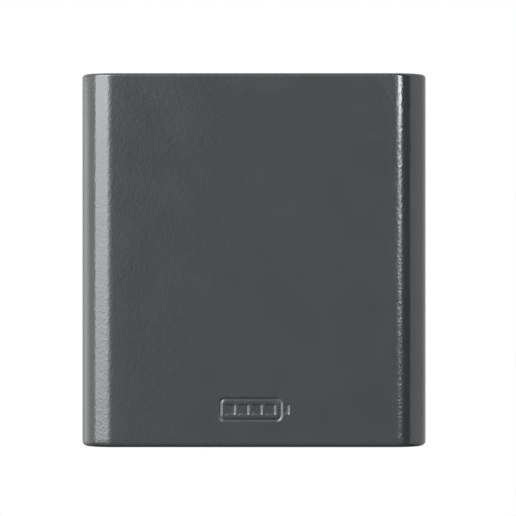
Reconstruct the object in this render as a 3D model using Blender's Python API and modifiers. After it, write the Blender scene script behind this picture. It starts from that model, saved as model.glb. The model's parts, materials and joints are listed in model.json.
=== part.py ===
"""Wall battery unit: a coated hood over a sealed 12 V battery and its wiring bay, hung on a wall bracket.

Lengths are in millimetres and are turned into metres as each mesh is made. The wall is the plane Y = 0,
the unit's face looks along -Y, +X is its right hand side seen from the front, and +Z is up.
"""

import math

import bmesh
import bpy
from mathutils import Matrix, Vector

MM = 0.001
GAP = 0.3  # between pieces that touch

# Hood: the coated cover, open at the back
HOOD_X, HOOD_Z = 95.0, 102.6  # half width, half height
HOOD_FRONT, HOOD_BACK = -80.0, -3.0
HOOD_WALL = 1.5
HOOD_SIDE_RADIUS = 17.8
HOOD_TOP_RADIUS, HOOD_BOTTOM_RADIUS = 2.0, 2.8
NOTCH_X, NOTCH_FRONT = 78.0, -52.0  # cable exit in the hood's lower wall
PICTOGRAM_WIDTH, PICTOGRAM_HEIGHT, PICTOGRAM_DEPTH = 39.0, 13.6, 0.8
PICTOGRAM_STROKE, PICTOGRAM_TERMINAL, PICTOGRAM_SPACING, PICTOGRAM_BARS = 2.2, 3.0, 1.5, 4
PICTOGRAM_Z = -81.7

# Rear housing: the tray with the battery chamber above and the wiring bay below
TRAY_X, TRAY_BOTTOM, TRAY_TOP = 88.0, -79.0, 99.0
TRAY_FRONT, TRAY_BACK = -69.5, -8.0
TRAY_WALL = 2.5
DIVIDER_BOTTOM, DIVIDER_TOP = -30.0, -27.5
TRAY_INNER_X = TRAY_X - TRAY_WALL
TRAY_INNER_BACK = TRAY_BACK - TRAY_WALL
BAY_FLOOR = TRAY_BOTTOM + TRAY_WALL
CHAMBER_TOP = TRAY_TOP - TRAY_WALL
LID_SCREW_PLACES = [(x, z) for x in (-81.0, 81.0) for z in (-22.6, 92.0)]
BOARD_SCREW_PLACES = [(-70.0, 70.5), (70.0, 70.5)]

# Battery: four groups of two 26650 cells in series
CELL_RADIUS, CELL_BOTTOM, CELL_TOP = 13.1, -24.3, 41.2
CELL_PITCH = 27.8
CELL_COLUMNS = [(column - 1.5) * CELL_PITCH for column in range(4)]
CELL_ROWS = {"front": -55.15, "rear": -27.35}
BUSBAR_THICKNESS = 0.4

# Control board
BOARD_X, BOARD_BOTTOM, BOARD_TOP = 75.0, 47.0, 94.0
BOARD_FRONT, BOARD_BACK = -18.5, -16.9

# What passes through the wiring bay's floor, all in one row
FLOOR_ROW_Y = -34.0
GLAND_PLACES = [-62.0, -34.0]
VENT_X, PORT_X, BUTTON_X = -8.0, 24.0, 60.0
GROMMET_X, GROMMET_Y, GROMMET_BORE = 66.0, -22.0, 4.5
THREAD_RADIUS, VENT_THREAD_RADIUS = 8.0, 6.0
PORT_HINGE_Y, PORT_HINGE_Z = -22.6, -84.4

# What stands on the wiring bay's back wall
BLOCK_LEFT, BLOCK_RIGHT, BLOCK_BOTTOM, BLOCK_TOP, BLOCK_FRONT = -14.0, 20.0, -60.0, -40.0, -38.0
LEVER_PIVOT_Y, LEVER_PIVOT_Z, LEVER_PITCH = -35.5, -43.6, 8.0
LEVER_PLACES = [(BLOCK_LEFT + BLOCK_RIGHT) / 2 + (pole - 1.5) * LEVER_PITCH for pole in range(4)]
BREAKER_X, BREAKER_Z, BREAKER_FRONT = 37.0, -51.0, -50.0
BREAKER_PIVOT_Y = -47.5
FUSE_X, FUSE_Z, FUSE_FRONT = 63.0, -50.0, -42.0

# Wall bracket and the rail that hangs on it
PLATE_X, PLATE_Z, PLATE_THICKNESS = 65.0, 75.0, 2.0
SLOT_LENGTH, SLOT_WIDTH = 16.0, 6.5
SLOT_PLACES = [(x, z) for x in (-48.0, 48.0) for z in (-46.0, 64.0)]
HOOK_PLACES = [-45.0, 45.0]
HOOK_BOTTOM, HOOK_TOP = 34.2, 46.0

# Colour, roughness and metallic value of each finish
FINISHES = {
    "grey_coat": ((0.030, 0.031, 0.033), 0.25, 0.0),
    "housing_plastic": ((0.035, 0.036, 0.038), 0.55, 0.0),
    "light_plastic": ((0.42, 0.43, 0.44), 0.50, 0.0),
    "black_plastic": ((0.016, 0.016, 0.017), 0.45, 0.0),
    "orange_plastic": ((0.75, 0.20, 0.03), 0.40, 0.0),
    "green_fuse": ((0.05, 0.42, 0.12), 0.30, 0.0),
    "rubber": ((0.012, 0.012, 0.012), 0.80, 0.0),
    "zinc_steel": ((0.52, 0.53, 0.54), 0.38, 1.0),
    "spring_steel": ((0.45, 0.45, 0.46), 0.28, 1.0),
    "nickel": ((0.66, 0.63, 0.57), 0.30, 1.0),
    "aluminium": ((0.60, 0.61, 0.62), 0.42, 1.0),
    "cell_sleeve": ((0.03, 0.16, 0.34), 0.35, 0.0),
    "board_laminate": ((0.01, 0.11, 0.05), 0.45, 0.0),
    "copper_winding": ((0.58, 0.24, 0.09), 0.32, 1.0),
    "red_insulation": ((0.50, 0.02, 0.02), 0.45, 0.0),
    "black_insulation": ((0.02, 0.02, 0.02), 0.45, 0.0),
}

# The turn that lays a mesh's own +Z along an axis
ALONG = {
    "X": Matrix.Rotation(math.radians(90), 4, "Y"),
    "Y": Matrix.Rotation(math.radians(-90), 4, "X"),
    "Z": Matrix.Identity(4),
}

parts = bpy.data.collections.new("wall_battery_unit")
tools = bpy.data.collections.new("cutters")


# Scene and shapes


def clear_scene():
    for thing in list(bpy.data.objects):
        bpy.data.objects.remove(thing)
    bpy.context.scene.collection.children.link(parts)
    bpy.context.scene.collection.children.link(tools)


def make_material(name, finish):
    colour, roughness, metallic = FINISHES[finish]
    material = bpy.data.materials.new(name)
    material.use_nodes = True
    shader = material.node_tree.nodes["Principled BSDF"]
    shader.inputs["Base Color"].default_value = (*colour, 1.0)
    shader.inputs["Roughness"].default_value = roughness
    shader.inputs["Metallic"].default_value = metallic
    return material


def add_object(name, data, finish, at):
    """Link a new object: a part where it has a finish, a tool for a Boolean where finish is None."""
    thing = bpy.data.objects.new(name, data)
    thing.location = Vector(at) * MM
    if finish:
        data.materials.append(make_material(name, finish))
        parts.objects.link(thing)
    else:
        thing.hide_render = True
        thing.display_type = "WIRE"
        tools.objects.link(thing)
    return thing


def add_mesh(name, bm, finish, at, smooth=False):
    bmesh.ops.scale(bm, vec=(MM, MM, MM), verts=bm.verts)
    mesh = bpy.data.meshes.new(name)
    bm.to_mesh(mesh)
    bm.free()
    if smooth:
        mesh.shade_smooth()
        mesh.set_sharp_from_angle(angle=math.radians(35))
    return add_object(name, mesh, finish, at)


def bevel_edges(bm, edges, radius, segments):
    bmesh.ops.bevel(bm, geom=edges, offset=radius, segments=segments, profile=0.5, affect="EDGES")


def box(name, finish, x, y, z, edge=0.0, along=None, segments=3, origin=None):
    """A block between limits; edge rounds its edges, or only those along one axis."""
    centre = Vector([(low + high) / 2 for low, high in (x, y, z)])
    bm = bmesh.new()
    bmesh.ops.create_cube(bm, size=1.0)
    bmesh.ops.scale(bm, vec=[high - low for low, high in (x, y, z)], verts=bm.verts)
    if edge:
        number = "XYZ".find(along) if along else None
        rounded = [
            e
            for e in bm.edges
            if number is None or abs((e.verts[0].co - e.verts[1].co).normalized()[number]) > 0.99
        ]
        bevel_edges(bm, rounded, edge, segments)
    if origin:
        bmesh.ops.translate(bm, vec=centre - Vector(origin), verts=bm.verts)
    return add_mesh(name, bm, finish, origin or centre)


def rod(name, finish, axis, centre, radius, span, sides=24, origin=None):
    """A cylinder, or a prism of few sides, along an axis; centre's own value on that axis isn't read."""
    middle = Vector(centre)
    middle["XYZ".find(axis)] = sum(span) / 2
    bm = bmesh.new()
    bmesh.ops.create_cone(
        bm, cap_ends=True, segments=sides, radius1=radius, radius2=radius, depth=span[1] - span[0]
    )
    bmesh.ops.transform(bm, matrix=ALONG[axis], verts=bm.verts)
    if origin:
        bmesh.ops.translate(bm, vec=middle - Vector(origin), verts=bm.verts)
    return add_mesh(name, bm, finish, origin or middle, smooth=sides > 6)


def turned(name, finish, profile, at, axis="Z", steps=32):
    """A turned piece. The profile's (radius, height) points run down its outer side, then up any bore."""
    bm = bmesh.new()
    points = [bm.verts.new((radius, 0.0, height)) for radius, height in profile]
    for first, second in zip(points, points[1:]):
        bm.edges.new((first, second))
    if profile[0][0] > 0:
        bm.edges.new((points[-1], points[0]))
    piece = add_mesh(name, bm, finish, at)
    piece.rotation_euler = ALONG[axis].to_euler()
    screw = piece.modifiers.new("turn", "SCREW")
    screw.steps = screw.render_steps = steps
    screw.use_merge_vertices = True
    screw.merge_threshold = 1e-5
    screw.use_smooth_shade = False
    return piece


def flat(name, finish, outlines, thickness, at, plane="XZ"):
    """A flat piece in the plane XZ or XY; the first outline is its edge and the others are its holes."""
    curve = bpy.data.curves.new(name + "_outline", "CURVE")
    curve.dimensions = "2D"
    curve.fill_mode = "BOTH"
    curve.extrude = thickness / 2 * MM
    for outline in outlines:
        spline = curve.splines.new("POLY")
        spline.points.add(len(outline) - 1)
        for point, (across, up) in zip(spline.points, outline):
            point.co = (across * MM, up * MM, 0.0, 1.0)
        spline.use_cyclic_u = True
    drawing = bpy.data.objects.new(name + "_outline", curve)
    parts.objects.link(drawing)
    solid = bpy.data.meshes.new_from_object(drawing.evaluated_get(bpy.context.evaluated_depsgraph_get()))
    bpy.data.objects.remove(drawing)
    bm = bmesh.new()
    bm.from_mesh(solid)
    bpy.data.meshes.remove(solid)
    bmesh.ops.remove_doubles(bm, verts=bm.verts, dist=1e-6)
    if plane == "XZ":
        bmesh.ops.transform(bm, matrix=Matrix.Rotation(math.radians(90), 4, "X"), verts=bm.verts)
    bmesh.ops.scale(bm, vec=(1 / MM, 1 / MM, 1 / MM), verts=bm.verts)
    return add_mesh(name, bm, finish, at)


def sheet(name, finish, path, span, thickness, along="X"):
    """Bent sheet metal: a path of (Y, Z) points drawn out along X, or of (X, Y) points along Z."""
    bm = bmesh.new()
    rows = []
    for end in span:
        places = [(end, *point) if along == "X" else (*point, end) for point in path]
        rows.append([bm.verts.new(place) for place in places])
    for number in range(len(path) - 1):
        corners = (rows[0][number], rows[0][number + 1], rows[1][number + 1], rows[1][number])
        bm.faces.new(corners)
    piece = add_mesh(name, bm, finish, (0, 0, 0))
    solidify = piece.modifiers.new("thickness", "SOLIDIFY")
    solidify.thickness = thickness * MM
    solidify.offset = 0.0
    solidify.use_even_offset = True
    return piece


def wire(name, finish, points, radius):
    """A round wire with flat ends along a route of close points."""
    curve = bpy.data.curves.new(name, "CURVE")
    curve.dimensions = "3D"
    curve.bevel_depth = radius * MM
    curve.bevel_resolution = 2
    curve.use_fill_caps = True
    spline = curve.splines.new("POLY")
    spline.points.add(len(points) - 1)
    for point, place in zip(spline.points, points):
        point.co = (*(Vector(place) * MM), 1.0)
    return add_object(name, curve, finish, (0, 0, 0))


def smooth_route(places, pieces=3):
    """Points on a smooth curve through the given places."""
    places = [Vector(place) for place in places]
    ends = [2 * places[0] - places[1], *places, 2 * places[-1] - places[-2]]
    route = []
    for a, b, c, d in zip(ends, ends[1:], ends[2:], ends[3:]):
        for step in range(pieces):
            t = step / pieces
            route.append(
                ((2 * b) + (c - a) * t + (2 * a - 5 * b + 4 * c - d) * t**2 + (3 * b - a - 3 * c + d) * t**3) / 2
            )
    return [*route, places[-1]]


def arc(centre, radius, start, end, pieces):
    """Points on an arc between two angles in degrees."""
    angles = [math.radians(start + (end - start) * n / pieces) for n in range(pieces + 1)]
    return [(centre[0] + radius * math.cos(a), centre[1] + radius * math.sin(a)) for a in angles]


def rounded_rectangle(x, z, radius, pieces=4):
    """An outline between the limits x and z with round corners."""
    corners = [(x[1], z[1], 0), (x[0], z[1], 90), (x[0], z[0], 180), (x[1], z[0], 270)]
    outline = []
    for corner_x, corner_z, start in corners:
        inward_x = radius if corner_x == x[0] else -radius
        inward_z = radius if corner_z == z[0] else -radius
        outline += arc((corner_x + inward_x, corner_z + inward_z), radius, start, start + 90, pieces)
    return outline


def boolean(piece, operation, tool):
    modifier = piece.modifiers.new(tool.name, "BOOLEAN")
    modifier.operation = operation
    modifier.object = tool


def cut(piece, *cutters):
    for cutter in cutters:
        boolean(piece, "DIFFERENCE", cutter)


def join(piece, *additions):
    for addition in additions:
        boolean(piece, "UNION", addition)


def carry(name, at, parent, pieces):
    """An empty on a joint's axis that carries the pieces which move together."""
    axis = bpy.data.objects.new(name, None)
    parts.objects.link(axis)
    axis.parent = parent
    axis.location = Vector(at) * MM - (parent.location if parent else Vector())
    for piece in pieces:
        piece.parent = axis
        piece.location -= Vector(at) * MM
    return axis


# Hood


def hood_form(name, finish, half_x, z, y, side_radius, top_radius, bottom_radius):
    """A block with quarter-round front corners and small fillets round its top and bottom."""
    bm = bmesh.new()
    bmesh.ops.create_cube(bm, size=1.0)
    bmesh.ops.scale(bm, vec=(2 * half_x, y[1] - y[0], z[1] - z[0]), verts=bm.verts)
    centre = Vector((0, sum(y) / 2, sum(z) / 2))
    bmesh.ops.translate(bm, vec=centre, verts=bm.verts)
    upright = [
        e
        for e in bm.edges
        if abs(e.verts[0].co.z - e.verts[1].co.z) > 1 and e.verts[0].co.y < centre.y
    ]
    bevel_edges(bm, upright, side_radius, 8)
    for height, radius in ((z[1], top_radius), (z[0], bottom_radius)):
        rim = [
            e
            for e in bm.edges
            if all(abs(v.co.z - height) < 0.01 for v in e.verts) and any(v.co.y < y[1] - 1 for v in e.verts)
        ]
        bevel_edges(bm, rim, radius, 3)
    return add_mesh(name, bm, finish, (0, 0, 0), smooth=True)


def pictogram_cutters():
    """A sunk battery sign: a round-cornered outline, its terminal and its charge bars."""
    stroke, spacing, bars = PICTOGRAM_STROKE, PICTOGRAM_SPACING, PICTOGRAM_BARS
    left, right = -PICTOGRAM_WIDTH / 2, PICTOGRAM_WIDTH / 2 - PICTOGRAM_TERMINAL
    half = PICTOGRAM_HEIGHT / 2
    at = (0, HOOD_FRONT, PICTOGRAM_Z)
    depth = 2 * PICTOGRAM_DEPTH
    outer = rounded_rectangle((left, right), (-half, half), 3.0)
    inner = rounded_rectangle((left + stroke, right - stroke), (-half + stroke, half - stroke), 1.2)
    signs = [flat("sign_outline_cutter", None, [outer, inner], depth, at)]
    nub = rounded_rectangle((right + 0.8, PICTOGRAM_WIDTH / 2), (-2.8, 2.8), 0.6, 2)
    signs.append(flat("sign_terminal_cutter", None, [nub], depth, at))
    reach = half - stroke - spacing
    inside = right - left - 2 * (stroke + spacing)
    bar_width = (inside - (bars - 1) * spacing) / bars
    for number in range(bars):
        start = left + stroke + spacing + number * (bar_width + spacing)
        bar = rounded_rectangle((start, start + bar_width), (-reach, reach), 0.6, 2)
        signs.append(flat(f"sign_bar_cutter_{number + 1}", None, [bar], depth, at))
    return signs


def make_hood():
    cover = hood_form(
        "front_cover",
        "grey_coat",
        HOOD_X,
        (-HOOD_Z, HOOD_Z),
        (HOOD_FRONT, HOOD_BACK),
        HOOD_SIDE_RADIUS,
        HOOD_TOP_RADIUS,
        HOOD_BOTTOM_RADIUS,
    )
    cavity = hood_form(
        "hood_cavity_cutter",
        None,
        HOOD_X - HOOD_WALL,
        (-HOOD_Z + HOOD_WALL, HOOD_Z - HOOD_WALL),
        (HOOD_FRONT + HOOD_WALL, HOOD_BACK + 5),
        HOOD_SIDE_RADIUS - HOOD_WALL,
        1.0,
        1.0,
    )
    notch = box(
        "hood_notch_cutter",
        None,
        (-NOTCH_X, NOTCH_X),
        (NOTCH_FRONT, HOOD_BACK + 10),
        (-HOOD_Z - 2, -HOOD_Z + 2 * HOOD_WALL),
        edge=6.0,
        along="Z",
    )
    cut(cover, cavity, notch, *pictogram_cutters())
    return cover


# Rear housing and what is fixed to it


def make_rear_housing():
    y = (TRAY_FRONT, TRAY_BACK)
    tray = box("rear_housing", "housing_plastic", (-TRAY_X, TRAY_X), y, (TRAY_BOTTOM, TRAY_TOP), 4.0, "Y")
    inside_x, inside_y = (-TRAY_INNER_X, TRAY_INNER_X), (TRAY_FRONT - 2, TRAY_INNER_BACK)
    cut(
        tray,
        box("chamber_cutter", None, inside_x, inside_y, (DIVIDER_TOP, CHAMBER_TOP), 2.0, "Y"),
        box("bay_cutter", None, inside_x, inside_y, (BAY_FLOOR, DIVIDER_BOTTOM), 2.0, "Y"),
    )
    for number, (x, z) in enumerate(LID_SCREW_PLACES):
        span = (TRAY_FRONT, TRAY_INNER_BACK + 1)
        join(tray, rod(f"lid_boss_{number + 1}", None, "Y", (x, 0, z), 5.0, span, 16))
        bore = (TRAY_FRONT - 1, TRAY_FRONT + 13)
        cut(tray, rod(f"lid_boss_bore_{number + 1}", None, "Y", (x, 0, z), 2.2, bore, 12))
    for number, (x, z) in enumerate(BOARD_SCREW_PLACES):
        span = (BOARD_BACK + GAP, TRAY_INNER_BACK + 1)
        join(tray, rod(f"board_boss_{number + 1}", None, "Y", (x, 0, z), 3.5, span, 16))
        bore = (BOARD_BACK - 1, BOARD_BACK + 5)
        cut(tray, rod(f"board_boss_bore_{number + 1}", None, "Y", (x, 0, z), 1.6, bore, 12))
    for number, x in enumerate((-60.0, 60.0)):
        rib_top = HOOD_Z - HOOD_WALL - GAP
        join(tray, box(f"hood_rib_{number + 1}", None, (x - 2, x + 2), (-60, -12), (TRAY_TOP - 1, rib_top)))
    floor = (TRAY_BOTTOM - 1, BAY_FLOOR + 1)
    for number, x in enumerate(GLAND_PLACES):
        hole = THREAD_RADIUS + GAP
        cut(tray, rod(f"gland_hole_{number + 1}", None, "Z", (x, FLOOR_ROW_Y, 0), hole, floor))
    cut(
        tray,
        rod("vent_hole", None, "Z", (VENT_X, FLOOR_ROW_Y, 0), VENT_THREAD_RADIUS + GAP, floor),
        rod("button_hole", None, "Z", (BUTTON_X, FLOOR_ROW_Y, 0), THREAD_RADIUS + GAP, floor),
        box("port_hole", None, (PORT_X - 8.3, PORT_X + 8.3), (FLOOR_ROW_Y - 5.3, FLOOR_ROW_Y + 5.3), floor),
        rod("lead_hole", None, "Z", (GROMMET_X, GROMMET_Y, 0), 7.0, (DIVIDER_BOTTOM - 1, DIVIDER_TOP + 1)),
    )
    return tray


def make_lid():
    """The chamber's lid with its seal and four screws."""
    edge_x, low, high = TRAY_X - 0.4, DIVIDER_BOTTOM + 0.2, TRAY_TOP - 0.4
    seal_back = TRAY_FRONT - GAP
    seal_front = seal_back - 1.0
    outer = rounded_rectangle((-edge_x, edge_x), (low, high), 3.6)
    inner = rounded_rectangle((-edge_x + 2.2, edge_x - 2.2), (low + 2.2, high - 2.2), 1.6)
    gasket = flat("lid_gasket", "rubber", [outer, inner], 1.0, (0, (seal_back + seal_front) / 2, 0))
    lid_back = seal_front - GAP
    lid_front = lid_back - 2.0
    lid_y = (lid_front, lid_back)
    lid = box("inner_lid", "light_plastic", (-edge_x, edge_x), lid_y, (low, high), 3.6, "Y")
    for number, x in enumerate((-48.0, -16.0, 16.0, 48.0)):
        y = (lid_front - 1.0, lid_front + 1.0)
        join(lid, box(f"lid_rib_{number + 1}", None, (x - 3, x + 3), y, (low + 20, high - 20), 0.6, "Y", 1))
    pieces = [gasket, lid]
    for number, (x, z) in enumerate(LID_SCREW_PLACES):
        hole = (lid_front - 2, lid_back + 1)
        cut(lid, rod(f"lid_hole_{number + 1}", None, "Y", (x, 0, z), 2.3, hole, 16))
        head = lid_front - GAP
        profile = [(0, 0), (1.9, 0), (1.9, -11.8), (3.5, -11.8), (3.5, -12.8), (3.0, -13.2), (0, -13.2)]
        at = (x, head - 1.4 + 13.2, z)
        screw = turned(f"lid_screw_{number + 1}", "zinc_steel", profile, at, "Y", 16)
        cross = [
            box(f"lid_screw_slot_{number + 1}_{way}", None, across, (head - 2, head - 0.6), up)
            for way, across, up in (
                (1, (x - 2.2, x + 2.2), (z - 0.4, z + 0.4)),
                (2, (x - 0.4, x + 0.4), (z - 2.2, z + 2.2)),
            )
        ]
        cut(screw, *cross)
        pieces.append(screw)
    return pieces


def make_clips():
    """Leaf springs on the housing's sides that grip the hood."""
    root, apex = TRAY_X + 0.7, HOOD_X - HOOD_WALL - 0.7
    clips = []
    for side, sign in (("left", -1), ("right", 1)):
        path = [(root, -20), (root, -26), (apex, -38), (apex, -42), (root, -54), (root, -58)]
        path = [(sign * x, y) for x, y in path]
        clips.append(sheet(f"cover_clip_{side}", "spring_steel", path, (-8, 8), 0.6, along="Z"))
    return clips


def make_hanging():
    """The steel rail that drops behind the bracket's hooks, and the rubber strip that keeps the unit plumb."""
    flange_y, lip_y, bend = TRAY_BACK + GAP + 0.6, -3.5, 50.0
    path = [(flange_y, 66), (flange_y, bend + 4), (lip_y, bend), (lip_y, HOOK_BOTTOM + 0.8 + GAP)]
    rail = sheet("hanger_rail", "zinc_steel", path, (-60, 60), 1.2)
    for number, x in enumerate((-52.0, -18.0, 18.0, 52.0)):
        head = (flange_y, flange_y + 1.4)
        join(rail, rod(f"rail_rivet_{number + 1}", None, "Y", (x, 0, 60), 3.0, head, 16))
    strip_y = (TRAY_BACK + GAP, -PLATE_THICKNESS - GAP)
    strip = box("wall_buffer", "rubber", (-40, 40), strip_y, (-70, -60), 1.0, "X", 2)
    return [rail, strip]


def make_bracket():
    """The steel wall plate with its four slots and two hooks."""
    slots = []
    for x, z in SLOT_PLACES:
        half = SLOT_LENGTH / 2
        rim = SLOT_WIDTH / 2
        slots.append(rounded_rectangle((x - half, x + half), (z - rim, z + rim), rim - 0.01, 4))
    edge = rounded_rectangle((-PLATE_X, PLATE_X), (-PLATE_Z, PLATE_Z), 6.0)
    plate = flat("wall_bracket", "zinc_steel", [edge, *slots], PLATE_THICKNESS, (0, -PLATE_THICKNESS / 2, 0))
    for number, x in enumerate(HOOK_PLACES):
        path = [(-1.0, HOOK_BOTTOM), (-5.4, HOOK_BOTTOM), (-5.4, HOOK_TOP)]
        join(plate, sheet(f"hook_{number + 1}", None, path, (x - 8, x + 8), 1.6))
    return plate


# Battery


def make_cells():
    """Eight cells; each pair shares a group, and the groups' ends point up and down in turn."""
    cells = []
    shoulder, button, button_height = CELL_RADIUS - 1.2, 5.0, 1.0
    length = CELL_TOP - CELL_BOTTOM
    profile = [
        (0, length),
        (button, length),
        (button, length - button_height),
        (shoulder, length - button_height),
        (CELL_RADIUS, length - button_height - 1.2),
        (CELL_RADIUS, 0),
        (0, 0),
    ]
    for row, y in CELL_ROWS.items():
        for column, x in enumerate(CELL_COLUMNS):
            upright = (row == "front") == (column < 2)
            name = f"cell_{row}_{column + 1}"
            cell = turned(name, "cell_sleeve", profile, (x, y, CELL_BOTTOM if upright else CELL_TOP), steps=20)
            if not upright:
                cell.rotation_euler = (math.pi, 0, 0)
            cells.append(cell)
    return cells


def make_holders():
    """Two plates that the cells stand in; feet carry the lower one off the chamber's floor."""
    holders = []
    height, reach = 8.0, 57.5
    y = (CELL_ROWS["front"] - 14.8, CELL_ROWS["rear"] + 14.8)
    for name, low in (("cell_holder_lower", CELL_BOTTOM), ("cell_holder_upper", CELL_TOP - height)):
        holder = box(name, "black_plastic", (-reach, reach), y, (low, low + height), 3.0, "Z")
        for row, centre_y in CELL_ROWS.items():
            for column, x in enumerate(CELL_COLUMNS):
                span = (low - 1, low + height + 1)
                seat = rod(f"{name}_seat_{row}_{column}", None, "Z", (x, centre_y, 0), CELL_RADIUS + GAP, span, 20)
                cut(holder, seat)
        holders.append(holder)
    for number, (x, foot_y) in enumerate([(x, foot_y) for x in (-55.5, 55.5) for foot_y in y]):
        inward = 3.0 if foot_y == y[0] else -3.0
        foot = sorted((foot_y + inward / 3, foot_y + inward * 1.6))
        z = (DIVIDER_TOP + GAP, CELL_BOTTOM + 1)
        join(holders[0], box(f"holder_foot_{number + 1}", None, (x - 1.8, x + 1.8), foot, z))
    return holders


def make_busbars():
    """Nickel strips that join the groups in series, with tabs for the two battery leads."""
    strip, reach = 8.0, CELL_PITCH / 2 - 2
    low_z = (CELL_BOTTOM - GAP - BUSBAR_THICKNESS, CELL_BOTTOM - GAP)
    high_z = (CELL_TOP + GAP, CELL_TOP + GAP + BUSBAR_THICKNESS)
    front, rear = CELL_ROWS["front"], CELL_ROWS["rear"]
    left, right = CELL_COLUMNS[0], CELL_COLUMNS[3]
    tab = -64.0
    return [
        box("busbar_negative", "nickel", (tab, CELL_COLUMNS[1] + strip), (front - strip, front + strip), low_z),
        box("busbar_positive", "nickel", (tab, CELL_COLUMNS[1] + strip), (rear - strip, rear + strip), low_z),
        box("busbar_link", "nickel", (CELL_COLUMNS[2] - strip, right + strip), (front - reach, rear + reach), low_z),
        box("busbar_upper_front", "nickel", (left - reach, right + reach), (front - strip, front + strip), high_z),
        box("busbar_upper_rear", "nickel", (left - reach, right + reach), (rear - strip, rear + strip), high_z),
    ]


# Control board


def make_board():
    y = (BOARD_FRONT, BOARD_BACK)
    board = box("control_board", "board_laminate", (-BOARD_X, BOARD_X), y, (BOARD_BOTTOM, BOARD_TOP), 2.0, "Y")
    pieces = [board]
    for number, (x, z) in enumerate(BOARD_SCREW_PLACES):
        hole = (BOARD_FRONT - 1, BOARD_BACK + 1)
        cut(board, rod(f"board_hole_{number + 1}", None, "Y", (x, 0, z), 1.8, hole, 16))
        profile = [(0, 0), (1.3, 0), (1.3, -6.2), (3.0, -6.2), (3.0, -7.6), (2.4, -8.2), (0, -8.2)]
        at = (x, BOARD_FRONT - GAP + 6.2, z)
        pieces.append(turned(f"board_screw_{number + 1}", "zinc_steel", profile, at, "Y", 16))

    fins, fin, height, base, left = 7, 1.6, 18.0, 3.0, -58.0
    pitch = (36.0 - fin) / (fins - 1)
    comb = [(left, 0)]
    for number in range(fins):
        start = left + number * pitch
        comb += [(start, -height), (start + fin, -height)]
        if number < fins - 1:
            comb += [(start + fin, -base), (start + pitch, -base)]
    comb.append((left + 36.0, 0))
    at = (0, BOARD_FRONT - GAP, 70)
    pieces.append(flat("heat_sink", "aluminium", [comb], 34.0, at, plane="XY"))

    ring = [(10.5 + x, z) for x, z in arc((0, 0), 4.6, 90, -270, 8)][:-1]
    pieces.append(turned("inductor", "copper_winding", ring, (0, BOARD_FRONT - GAP - 4.6, 70), "Y", 20))

    can = [(0, 0), (8.0, 0), (8.0, -22.5), (7.2, -23.5), (0, -23.5)]
    pieces.append(turned("capacitor", "black_plastic", can, (30, BOARD_FRONT - GAP, 78), "Y", 24))
    y = (BOARD_FRONT - GAP - 10.2, BOARD_FRONT - GAP)
    pieces.append(box("board_connector", "black_plastic", (54, 72), y, (49, 59), 0.6, segments=1))
    return pieces


def make_leads():
    """Battery leads in the chamber, and output leads that go through the grommet to the bay."""
    radius = 1.5
    tab_x, tab_top = -61.5, CELL_BOTTOM - GAP + radius
    front, rear = CELL_ROWS["front"], CELL_ROWS["rear"]
    board = BOARD_FRONT - GAP
    plug_front = BOARD_FRONT - 2 * GAP - 10.2
    routes = {
        "battery_lead_positive": [
            (tab_x, rear, tab_top - radius + GAP),
            (tab_x, rear, -10),
            (tab_x - 2, rear + 1, 25),
            (-66, rear + 1, 48),
            (-66, rear + 4, 56),
            (-66, board, 57),
        ],
        "battery_lead_negative": [
            (tab_x, front, tab_top - radius + GAP),
            (tab_x, front, -10),
            (tab_x - 2, front + 4, 25),
            (-70, -36, 50),
            (-71, -26, 57),
            (-71, board, 58),
        ],
        "output_lead_positive": [
            (67.8, plug_front - GAP, 54),
            (67.8, plug_front - 3, 53.6),
            (67.8, plug_front - 3.6, 47),
            (67.8, plug_front + 1, 36),
            (67.8, GROMMET_Y, 20),
            (67.8, GROMMET_Y, -15),
            (67.8, GROMMET_Y, -28),
            (67.2, GROMMET_Y, -31),
            (66.2, GROMMET_Y, -34),
            (66, GROMMET_Y, FUSE_Z + 13 + 2 * GAP),
        ],
        "output_lead_negative": [
            (61, plug_front - GAP, 54),
            (61, plug_front - 3, 53.6),
            (61, plug_front - 3.6, 47),
            (62, plug_front + 1, 36),
            (64.2, GROMMET_Y, 20),
            (64.2, GROMMET_Y, -15),
            (64.2, GROMMET_Y, -26),
            (64, GROMMET_Y, -31),
            (61, GROMMET_Y, -33.2),
            (45, GROMMET_Y + 2, -33.2),
            (10, GROMMET_Y + 2, -33.2),
            (-4, GROMMET_Y + 2, -33.2),
            (-8, GROMMET_Y + 2, -34.6),
            (-9, GROMMET_Y + 2, -37),
            (-9, GROMMET_Y + 2, BLOCK_TOP + 2 * GAP),
        ],
    }
    leads = []
    for name, places in routes.items():
        insulation = "red_insulation" if name.endswith("positive") else "black_insulation"
        leads.append(wire(name, insulation, smooth_route(places), radius))
    lip = GROMMET_BORE + 4.5
    neck = 7.0 - GAP
    top, bottom = DIVIDER_TOP + GAP, DIVIDER_BOTTOM - GAP
    profile = [
        (lip, top + 1.2),
        (lip, top),
        (neck, top),
        (neck, bottom),
        (lip, bottom),
        (lip, bottom - 1.2),
        (GROMMET_BORE, bottom - 1.2),
        (GROMMET_BORE, top + 1.2),
    ]
    leads.append(turned("lead_grommet", "rubber", profile, (GROMMET_X, GROMMET_Y, 0), steps=20))
    return leads


# Wiring bay


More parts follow.
